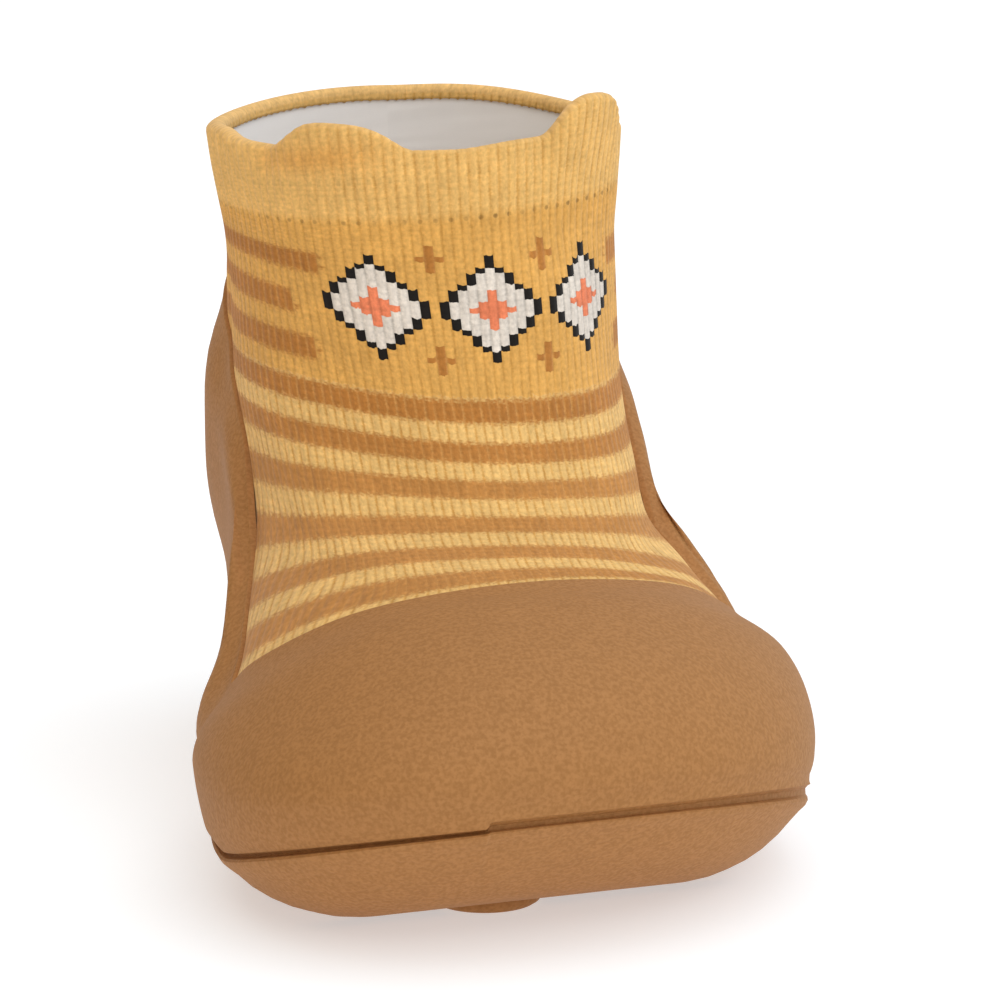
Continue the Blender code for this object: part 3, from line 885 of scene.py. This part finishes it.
def knit_finish(settings):
    """Jersey knit in wales and courses: yellow with brown stripes, and a band of lozenges on the front."""
    f = Finish(bpy.data.materials.new("sock_knit"))
    spot = f.node("UVMap", uv_map="knit").outputs[0]
    split = f.node("SeparateXYZ", {0: spot})
    wale, course = split.outputs[0], split.outputs[1]
    column = f.math("FLOOR", wale)
    off = f.apart(f.math("FRACT", wale), 0.5)
    along_wale = f.stretched(spot, (1.0, 0.12, 0.0))
    looped = f.scaled(off, LOOP_LEAN, course)
    frayed = f.scaled(f.noise(spot, scale=2.2, detail=3.0), STRIPE_FRAY, f.minus(looped, 0.5 * STRIPE_FRAY))
    uneven = f.scaled(f.noise(spot, scale=1.7, detail=2.0), ROW_FRAY, f.minus(looped, 0.5 * ROW_FRAY))
    row = f.math("FLOOR", uneven)
    in_loop = f.math("FRACT", looped)

    # Stripes all round below the front panel, and short bars beside it
    repeat = f.math("DIVIDE", f.minus(frayed, FIRST_STRIPE), STRIPE_REPEAT)
    from_stripe = f.math("PINGPONG", f.minus(repeat, 0.25), 0.5)
    in_stripe = f.soft_step(from_stripe, STRIPE_SHARE + STRIPE_BLUR, STRIPE_SHARE - STRIPE_BLUR)
    bar = f.math("FLOOR", f.plus(repeat, 0.25))
    wale_degrees = 360.0 / settings.wales
    panel_middle = round(PANEL_MIDDLE / wale_degrees)
    panel_half = PANEL_HALF / wale_degrees
    across_panel = f.minus(column, panel_middle)
    from_middle = f.math("ABSOLUTE", across_panel)
    bar_end = f.scaled(f.math("PINGPONG", bar, 1.0), -BAR_STAGGER, panel_half + BAR_STAGGER)
    bar_end = f.plus(bar_end, f.scaled(bar, BAR_SLANT, BAR_SLANT))
    bar_fray = f.scaled(f.noise(spot, scale=0.9, detail=2.0), BAR_FRAY, -0.5 * BAR_FRAY)
    beside = f.soft_step(f.minus(f.plus(from_middle, bar_fray), bar_end), *BAR_EDGE)
    below_panel = f.math("GREATER_THAN", frayed, FIRST_STRIPE - 0.5)
    below_cuff = f.math("GREATER_THAN", bar, -SIDE_BARS - 0.5)
    brown = f.times(in_stripe, below_cuff, f.math("MAXIMUM", below_panel, beside))

    # The band of lozenges in the panel
    half = 0.5 * LOZENGE_REPEAT
    in_panel = f.math("LESS_THAN", from_middle, 0.5 * LOZENGES * LOZENGE_REPEAT)
    step = f.math("ABSOLUTE", f.math("WRAP", across_panel, half, -half))
    drop = f.apart(row, LOZENGE_COURSE)
    size = f.diamond(step, drop, *LOZENGE_HALF)
    spacer_step = f.minus(half, step)
    spacer_drop = f.apart(drop, SPACER_OFFSET)
    spacer_size = f.diamond(spacer_step, spacer_drop, *SPACER_HALF)
    spaced = f.math("LESS_THAN", from_middle, 0.5 * (LOZENGES - 1) * LOZENGE_REPEAT)
    spacer = f.times(spaced, f.math("LESS_THAN", spacer_size, 1.0))
    outline = f.times(in_panel, f.math("LESS_THAN", size, 1.0))
    light = f.times(in_panel, f.math("LESS_THAN", size, LOZENGE_LIGHT))
    accent = f.times(in_panel, f.math("LESS_THAN", size, LOZENGE_ACCENT))

    # Yarn colours. The gaps between the wales are painted darker, as shade in the valleys, on the cuff, the
    # panel, the light stripes and the lozenges, and show the light yarn behind on the dark stripes
    cuff = f.minus(1.0, f.soft_step(course, PINHOLE_COURSE - 2.0, PINHOLE_COURSE + 1.0))
    ground = f.mix(cuff, settings.ground_colour, settings.cuff_colour)
    ground = f.mix(below_panel, ground, settings.light_stripe_colour)
    behind = f.mix(below_panel, settings.gap_colour, settings.light_gap_shade_colour)
    brown = f.math("MAXIMUM", brown, spacer)
    stretched = f.times(f.soft_step(course, *STRETCH_RANGE), STRETCH_FADE)
    dark = f.mix(stretched, settings.stripe_colour, settings.stripe_gap_colour)
    colour = f.mix(brown, ground, dark)
    behind = f.mix(brown, behind, settings.stripe_gap_colour)
    # The lozenges' yarns, darker in the gaps between the wales: painted shade
    for mask, yarn in (
        (outline, settings.motif_dark_colour),
        (light, settings.motif_light_colour),
        (accent, settings.motif_accent_colour),
    ):
        colour = f.mix(mask, colour, yarn)
        behind = f.mix(mask, behind, [BEHIND_SHADE * part for part in yarn])
    gap_spot = f.stretched(spot, (0.9, 0.3, 0.0))
    gap_strength = f.scaled(f.noise(gap_spot, scale=1.0, detail=3.0), *GAP_STRENGTH)
    gap_fray = f.scaled(f.noise(spot, scale=3.5, detail=2.0), GAP_FRAY, -0.5 * GAP_FRAY)
    gap = f.times(f.soft_step(f.plus(off, gap_fray), *GAP_EDGE), gap_strength)
    rim = f.node("Attribute", attribute_name="rim").outputs["Fac"]
    gap = f.times(gap, f.scaled(rim, -RIM_GAPS, 1.0))
    smooth_wales = (angle / wale_degrees for angle in SMOOTH_CUFF_RANGE)
    smooth_cuff = f.times(cuff, f.soft_step(wale, *smooth_wales))
    gap = f.times(gap, f.scaled(smooth_cuff, -SMOOTH_CUFF_GAPS, f.scaled(cuff, -CUFF_GAPS, 1.0)))
    colour = f.mix(gap, colour, behind)
    under_tab = f.apart(wale, (180.0 - TAB_FOLD_BEARING) / wale_degrees)
    below_tab = f.apart(course, TAB_FOLD_COURSE)
    # Painted shade: the cuff darker orange below the inner tab, where the tab folds forward over it
    fold = f.times(f.soft_step(under_tab, *FOLD_WALES), f.soft_step(below_tab, *FOLD_COURSES))
    colour = f.mix(f.times(fold, FOLD_SHADE), colour, settings.tab_fold_shade_colour)
    # Painted highlight, partly also the pale fuzz of the yarn: the rolled rim paler where light falls on it
    # from above
    colour = f.mix(f.times(rim, RIM_HIGHLIGHT), colour, settings.rim_highlight_colour)

    # Heathered yarn: streaks along the wales, fuzz, and each stitch a little its own
    streak = f.around_one(f.noise(along_wale, scale=1.3, detail=3.0), swing=0.2)
    patch = f.around_one(f.noise(spot, scale=0.12, detail=3.0), swing=0.16)
    fuzz_spot = f.stretched(spot, (1.2, 0.5, 0.0))
    fuzz = f.noise(fuzz_spot, scale=2.4, detail=3.0)
    mottle = f.around_one(fuzz, swing=0.32)
    stitch_spot = f.node("CombineXYZ", {0: column, 1: row}).outputs[0]
    own = f.node("TexWhiteNoise", {"Vector": stitch_spot}).outputs["Value"]
    stitch = f.around_one(own, swing=0.04)
    loop_round = f.math("SINE", f.times(in_loop, math.pi))
    loop_shade = f.scaled(loop_round, *LOOP_SHADE)

    # A row of pinholes at the foot of the cuff, one and a half wales apart, and of dashes under the inner tab
    from_hole = f.math("WRAP", wale, PINHOLE_HALF_SPACING, -PINHOLE_HALF_SPACING)
    hole_across = f.math("DIVIDE", from_hole, PINHOLE_HALF_WIDTH)
    hole_down = f.math("DIVIDE", f.minus(course, PINHOLE_COURSE), PINHOLE_HALF_HEIGHT)
    hole_reach = f.plus(f.times(hole_across, hole_across), f.times(hole_down, hole_down))
    hole = f.minus(1.0, f.soft_step(hole_reach, *PINHOLE_EDGE))
    hole = f.times(hole, f.scaled(f.noise(stitch_spot, scale=0.7, detail=0.0), *PINHOLE_UNEVEN))
    hole_shade = f.scaled(hole, -PINHOLE_SHADE, 1.0)
    turn_down = f.apart(course, TURN_COURSE)
    turned = f.times(f.math("LESS_THAN", turn_down, 0.5), f.math("LESS_THAN", under_tab, DASH_REACH))
    turn_shade = f.scaled(f.times(turned, f.soft_step(off, *DASH_EDGE)), -DASH_SHADE, 1.0)
    for strength in (streak, patch, mottle, stitch, loop_shade, hole_shade, turn_shade):
        colour = f.shade(colour, strength)

    round_wale = f.minus(1.0, f.times(off, f.times(off, 4.0)))
    height = f.scaled(loop_round, LOOP_HEIGHT, f.times(round_wale, WALE_HEIGHT))
    height = f.scaled(hole, -PINHOLE_DEPTH, height)
    height = f.scaled(fuzz, FUZZ_HEIGHT, height)
    normal = f.bump(height, distance=0.12 * MM, strength=0.7)
    return f.finish(colour, normal, roughness=0.9, specular=0.1, sheen=0.1)


def lining_finish(settings):
    """Smooth grey jersey inside the sock, faintly creased."""
    f = Finish(bpy.data.materials.new("sock_lining"))
    spot = f.node("UVMap", uv_map="knit").outputs[0]
    patch = f.around_one(f.noise(spot, scale=0.09, detail=3.0), swing=0.06)
    grain = f.around_one(f.noise(spot, scale=5.0, detail=2.0), swing=0.03)
    colour = f.shade(f.shade(tuple(settings.lining_colour), patch), grain)
    stretched = f.stretched(spot, (0.22, 1.0, 0.0))
    normal = f.bump(f.noise(stretched, scale=0.16, detail=1.0), distance=0.5 * MM, strength=0.6)
    return f.finish(colour, normal, roughness=0.85, specular=0.2, sheen=0.15)


def rubber_finish(settings):
    """Matte moulded rubber with the fine worm-like grain of an eroded mould."""
    f = Finish(bpy.data.materials.new("moulded_rubber"))
    spot = f.node("TexCoord").outputs["Object"]
    grain = f.noise(spot, scale=0.9 / settings.grain_size, detail=1.0)
    grain = f.soft_step(grain, *GRAIN_EDGE)
    fine = f.noise(spot, scale=3.0 / settings.grain_size, detail=2.0)
    cloud = f.noise(spot, scale=330.0, detail=3.0)
    colour = f.mix(grain, settings.shade_colour, settings.colour)
    colour = f.shade(colour, f.around_one(cloud, swing=0.05))
    colour = f.shade(colour, f.around_one(fine, swing=0.02))
    normal = f.bump(f.scaled(fine, FINE_HEIGHT, grain), distance=0.04 * MM, strength=0.7)
    return f.finish(colour, normal, roughness=f.scaled(grain, *RUBBER_ROUGHNESS), specular=0.4)


def insole_finish(settings):
    """Brushed textile cover of the insole, with a fine weave."""
    f = Finish(bpy.data.materials.new("insole_foam"))
    spot = f.node("TexCoord").outputs["Object"]
    split = f.node("SeparateXYZ", {0: spot})
    turns = 2.0 * math.pi / settings.weave
    weave = f.times(*(f.math("SINE", f.times(split.outputs[axis], turns)) for axis in (0, 1)))
    cloud = f.noise(spot, scale=90.0, detail=2.0)
    fibre = f.noise(spot, scale=1800.0, detail=2.0)
    colour = f.shade(tuple(settings.colour), f.around_one(cloud, swing=0.07))
    colour = f.shade(colour, f.around_one(fibre, swing=0.08))
    height = f.scaled(fibre, FIBRE_HEIGHT, f.times(weave, WEAVE_HEIGHT))
    normal = f.bump(height, distance=0.1 * MM, strength=0.6)
    return f.finish(colour, normal, roughness=0.92, specular=0.15, sheen=0.2)


def floor_finish(settings):
    """Pale matte paper, faintly mottled."""
    f = Finish(bpy.data.materials.new("pale_floor"))
    spot = f.node("TexCoord").outputs["Object"]
    patch = f.around_one(f.noise(spot, scale=3.0, detail=2.0), swing=0.004)
    colour = f.shade(tuple(settings.floor_colour), patch)
    f.shader.inputs["Emission Color"].default_value = (1.0, 1.0, 1.0, 1.0)
    f.shader.inputs["Emission Strength"].default_value = settings.floor_glow
    normal = f.bump(f.noise(spot, scale=900.0, detail=2.0), distance=0.02 * MM, strength=0.2)
    return f.finish(colour, normal, roughness=0.9, specular=0.1)


# Settings


def colour_setting(name, description, default):
    return FloatVectorProperty(
        name=name, description=description, subtype="COLOR", size=3, min=0.0, max=1.0, default=default
    )


def length_setting(name, description, default):
    return FloatProperty(
        name=name, description=description, default=default, min=0.0, subtype="DISTANCE", unit="LENGTH"
    )


def strength_setting(name, description, default):
    return FloatProperty(name=name, description=description, default=default, min=0.0)


def place_setting(name, description, default):
    return FloatVectorProperty(
        name=name, description=description, subtype="TRANSLATION", unit="LENGTH", default=default
    )


class SockSettings(bpy.types.PropertyGroup):
    """Sizes and yarn colours of the knitted sock"""

    wales: IntProperty(name="Wales", description="Stitch columns around", default=126, min=60, max=180)
    rib_depth: length_setting("Leg ribs", "How far the wales of the leg stand out", 0.04 * MM)
    cuff_rib_depth: length_setting("Cuff ribs", "How far the ribs of the cuff stand out", 0.09 * MM)
    cuff_colour: colour_setting("Cuff", "Yarn of the cuff", (0.78, 0.45, 0.14))
    # Painted highlight, partly also the pale fuzz of the yarn: paler yarn on the rolled rim, lit from above
    rim_highlight_colour: colour_setting("Rim", "Yarn of the rolled rim", (0.84, 0.51, 0.2))
    # Painted shade where the inner tab folds forward over the cuff
    tab_fold_shade_colour: colour_setting("Tab foot", "Yarn where the inner tab folds", (0.66, 0.30, 0.065))
    ground_colour: colour_setting("Panel", "Yarn of the front panel", (0.71, 0.365, 0.09))
    # Painted shade in the gaps between the wales of the cuff and the panel
    gap_colour: colour_setting("Panel gaps", "Yarn between the wales of the panel", (0.57, 0.28, 0.06))
    light_stripe_colour: colour_setting("Light stripe", "Yarn of the light stripes", (0.78, 0.47, 0.16))
    # Painted shade in the gaps between the wales of the light stripes
    light_gap_shade_colour: colour_setting("Light gaps", "Yarn behind the light stripes", (0.60, 0.30, 0.07))
    stripe_colour: colour_setting("Dark stripe", "Yarn of the dark stripes and bars", (0.44, 0.17, 0.034))
    stripe_gap_colour: colour_setting("Dark gaps", "Yarn behind the dark stripes", (0.54, 0.245, 0.064))
    motif_light_colour: colour_setting("Lozenge", "Light yarn of the lozenges", (0.72, 0.62, 0.52))
    motif_dark_colour: colour_setting("Lozenge outline", "Dark yarn of the lozenges", (0.012, 0.009, 0.007))
    motif_accent_colour: colour_setting("Lozenge middle", "Bright yarn of the lozenges", (0.80, 0.22, 0.10))
    lining_colour: colour_setting("Lining", "Jersey inside the sock", (0.90, 0.83, 0.77))


class RubberSettings(bpy.types.PropertyGroup):
    """Sizes and colours of the rubber bottom"""

    colour: colour_setting("Rubber", "Raised grain of the rubber", (0.425, 0.186, 0.052))
    shade_colour: colour_setting("Grain", "Low grain of the rubber", (0.345, 0.146, 0.037))
    grain_size: length_setting("Grain size", "Size of the moulded grain", 0.4 * MM)
    tread_width: length_setting("Tread width", "Width of the tread grooves", 2.4 * MM)
    tread_depth: length_setting("Tread depth", "Depth of the tread grooves", 1.3 * MM)


class InsoleSettings(bpy.types.PropertyGroup):
    """Sizes and colour of the insole"""

    colour: colour_setting("Cover", "Textile on the insole", (0.55, 0.50, 0.44))
    crown: length_setting("Crown", "How far the middle of the insole swells", 0.35 * MM)
    weave: length_setting("Weave", "Spacing of the cover's threads", 0.7 * MM)


class StageSettings(bpy.types.PropertyGroup):
    """Floor, light and camera"""

    floor_colour: colour_setting("Floor", "Colour of the floor", (0.66, 0.66, 0.66))
    floor_glow: strength_setting("Floor glow", "Light that the floor gives off", 0.47)
    daylight: strength_setting("Right fill", "Strength of the soft light at the right", 1.04)
    left_light: strength_setting("Left fill", "Strength of the soft light at the left", 0.3)
    left_colour: colour_setting("Left tint", "Colour of the soft light at the left", (1.0, 0.80, 0.50))
    right_colour: colour_setting("Right tint", "Colour of the soft light at the right", (0.73, 0.86, 1.0))
    key_strength: strength_setting("Key", "Strength of the soft light from above", 1.5)
    lens: FloatProperty(
        name="Lens",
        description="Focal length of the camera in millimetres",
        default=125.0,
        min=1.0,
        subtype="DISTANCE_CAMERA",
    )
    camera_place: place_setting("Camera", "Where the camera stands", (-0.0631, -0.3866, 0.1038))
    camera_target: place_setting("Target", "What the camera looks at", (0.0041, 0.0, 0.036))


# Operators


class SOCKSHOE_OT_rubber_shell(bpy.types.Operator):
    """Moulds the rubber bottom with its rounded lip, welt groove and tread"""

    bl_idname = "sock_shoe.rubber_shell"
    bl_label = "Rubber bottom"

    def execute(self, context):
        settings = context.scene.sock_shoe_rubber
        rubber, _, _ = wrap_grid("rubber_shell", rubber_rows())
        close_seams(rubber)
        shift = frame_shift()
        for groove in GROOVES:
            height = float(underside_height(np.array(groove.place)))
            spot = (np.array([0.0, groove.place, height]) + shift) * MM
            cutter = added("tread", bpy.ops.mesh.primitive_cube_add, size=1.0, location=spot)
            length = 2.0 * groove.half_length * MM
            cutter.dimensions = (length, settings.tread_width, 2.0 * settings.tread_depth)
            cutter.rotation_euler = (0.0, 0.0, math.radians(GROOVE_TURN) if groove.place < 0.0 else 0.0)
            bpy.ops.object.transform_apply(location=True, rotation=True, scale=True)
            combine(rubber, cutter, "DIFFERENCE")
        self.add_lug(rubber, shift)
        bpy.ops.object.select_all(action="DESELECT")
        rubber.select_set(True)
        context.view_layer.objects.active = rubber
        bpy.ops.object.shade_smooth_by_angle(angle=SHARP_ANGLE)
        rubber.data.materials.clear()
        rubber.data.materials.append(rubber_finish(settings))
        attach(rubber, "root")
        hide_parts("rubber_bottom")
        return {"FINISHED"}

    def add_lug(self, rubber, shift):
        """Joins the round lug, its foot softened, to the underside of the toe."""
        spot = (np.array([*LUG_MIDDLE, 0.5 * (LUG_BOTTOM + LUG_TOP)]) + shift) * MM
        lug = added(
            "lug",
            bpy.ops.mesh.primitive_cylinder_add,
            vertices=LUG_SIDES,
            radius=LUG_RADIUS * MM,
            depth=(LUG_TOP - LUG_BOTTOM) * MM,
            location=spot,
        )
        bpy.ops.object.transform_apply(location=True, rotation=True, scale=True)
        soften = lug.modifiers.new("soft edge", "BEVEL")
        soften.width = LUG_ROUND * MM
        soften.segments = LUG_ROUND_STEPS
        apply_modifier(lug, soften.name)
        combine(rubber, lug, "UNION")


class SOCKSHOE_OT_knit_sock(bpy.types.Operator):
    """Knits the sock with its ribbed cuff, tabs, stripes and lining"""

    bl_idname = "sock_shoe.knit_sock"
    bl_label = "Knitted sock"

    def execute(self, context):
        settings = context.scene.sock_shoe_sock
        points, wales, courses, is_lining, rims = sock_rows(settings)
        sock, row, column = wrap_grid("knit_sock", points)
        mesh = sock.data
        layer = mesh.uv_layers.active
        layer.name = "knit"
        corner = np.empty(len(mesh.loops), int)
        mesh.loops.foreach_get("vertex_index", corner)
        places = np.stack([wales[row[corner], column[corner]], courses[row[corner], column[corner]]], axis=1)
        layer.uv.foreach_set("vector", places.ravel())
        mesh.attributes.new("rim", "FLOAT", "POINT").data.foreach_set("value", rims[row])
        mesh.materials.append(knit_finish(settings))
        mesh.materials.append(lining_finish(settings))
        face_rows = row[corner].reshape(-1, 4)
        lined = is_lining[face_rows].all(axis=1)
        mesh.polygons.foreach_set("material_index", lined.astype(int))
        close_seams(sock)
        bpy.ops.object.shade_smooth()
        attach(sock, "root")
        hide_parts("sock_upper")
        return {"FINISHED"}


class SOCKSHOE_OT_insole_pad(bpy.types.Operator):
    """Lays the crowned insole on the floor of the rubber bottom"""

    bl_idname = "sock_shoe.insole_pad"
    bl_label = "Insole"

    def execute(self, context):
        settings = context.scene.sock_shoe_insole
        insole, _, _ = wrap_grid("insole_pad", insole_rows(settings.crown / MM))
        close_seams(insole)
        bpy.ops.object.shade_smooth()
        insole.data.materials.append(insole_finish(settings))
        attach(insole, "root")
        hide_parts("insole")
        return {"FINISHED"}


class SOCKSHOE_OT_stage(bpy.types.Operator):
    """Sets the floor, the soft light and the camera"""

    bl_idname = "sock_shoe.stage"
    bl_label = "Stage"

    def execute(self, context):
        settings = context.scene.sock_shoe_stage
        scene = context.scene
        scene.view_settings.view_transform = "Standard"
        floor = added("floor", bpy.ops.mesh.primitive_plane_add, size=FLOOR_SIZE)
        floor.data.materials.append(floor_finish(settings))
        world = Finish(bpy.data.worlds.new("even_light"))
        split = world.node("SeparateXYZ", {0: world.node("TexCoord").outputs["Generated"]})
        slope = world.node("MapRange", {"Value": split.outputs[0], "From Min": -1.0})
        left = [settings.left_light * part for part in settings.left_colour]
        right = [settings.daylight * part for part in settings.right_colour]
        background = world.tree.nodes["Background"]
        world.feed(background.inputs["Color"], world.mix(slope.outputs["Result"], left, right))
        scene.world = world.owner
        for name, aim, share in SUNS:
            sun = added(name, bpy.ops.object.light_add, type="SUN")
            sun.rotation_euler = Vector(aim).to_track_quat("-Z", "Y").to_euler()
            sun.data.energy = share * settings.key_strength
            sun.data.angle = SUN_SPREAD
        camera = added("photo_camera", bpy.ops.object.camera_add, location=settings.camera_place)
        look = Vector(settings.camera_target) - Vector(settings.camera_place)
        camera.rotation_euler = look.to_track_quat("-Z", "Y").to_euler()
        camera.data.lens = settings.lens
        camera.data.clip_start = CLIP_START
        scene.camera = camera
        return {"FINISHED"}


class SOCKSHOE_PT_tools(bpy.types.Panel):
    """Lists the shoe's settings and the operators that make its pieces"""

    bl_idname = "SOCKSHOE_PT_tools"
    bl_label = "Sock shoe"
    bl_space_type = "VIEW_3D"
    bl_region_type = "UI"
    bl_category = "Sock shoe"

    def draw(self, context):
        for operator, holder in zip(OPERATORS, HOLDERS):
            column = self.layout.box().column()
            settings = getattr(context.scene, holder)
            for name in settings.bl_rna.properties.keys():
                if name not in ("rna_type", "name"):
                    column.prop(settings, name)
            column.operator(operator.bl_idname)


STEPS = (
    (SOCKSHOE_OT_rubber_shell, "sock_shoe_rubber", RubberSettings),
    (SOCKSHOE_OT_knit_sock, "sock_shoe_sock", SockSettings),
    (SOCKSHOE_OT_insole_pad, "sock_shoe_insole", InsoleSettings),
    (SOCKSHOE_OT_stage, "sock_shoe_stage", StageSettings),
)
OPERATORS, HOLDERS, SETTINGS = zip(*STEPS)
CLASSES = (*SETTINGS, *OPERATORS, SOCKSHOE_PT_tools)


def register():
    for made in CLASSES:
        bpy.utils.register_class(made)
    for holder, settings in zip(HOLDERS, SETTINGS):
        setattr(bpy.types.Scene, holder, PointerProperty(type=settings))


def unregister():
    for holder in HOLDERS:
        delattr(bpy.types.Scene, holder)
    for made in reversed(CLASSES):
        bpy.utils.unregister_class(made)


def main():
    register()
    bpy.ops.sock_shoe.rubber_shell()
    bpy.ops.sock_shoe.knit_sock()
    bpy.ops.sock_shoe.insole_pad()
    bpy.ops.sock_shoe.stage()


if __name__ == "__main__":
    main()
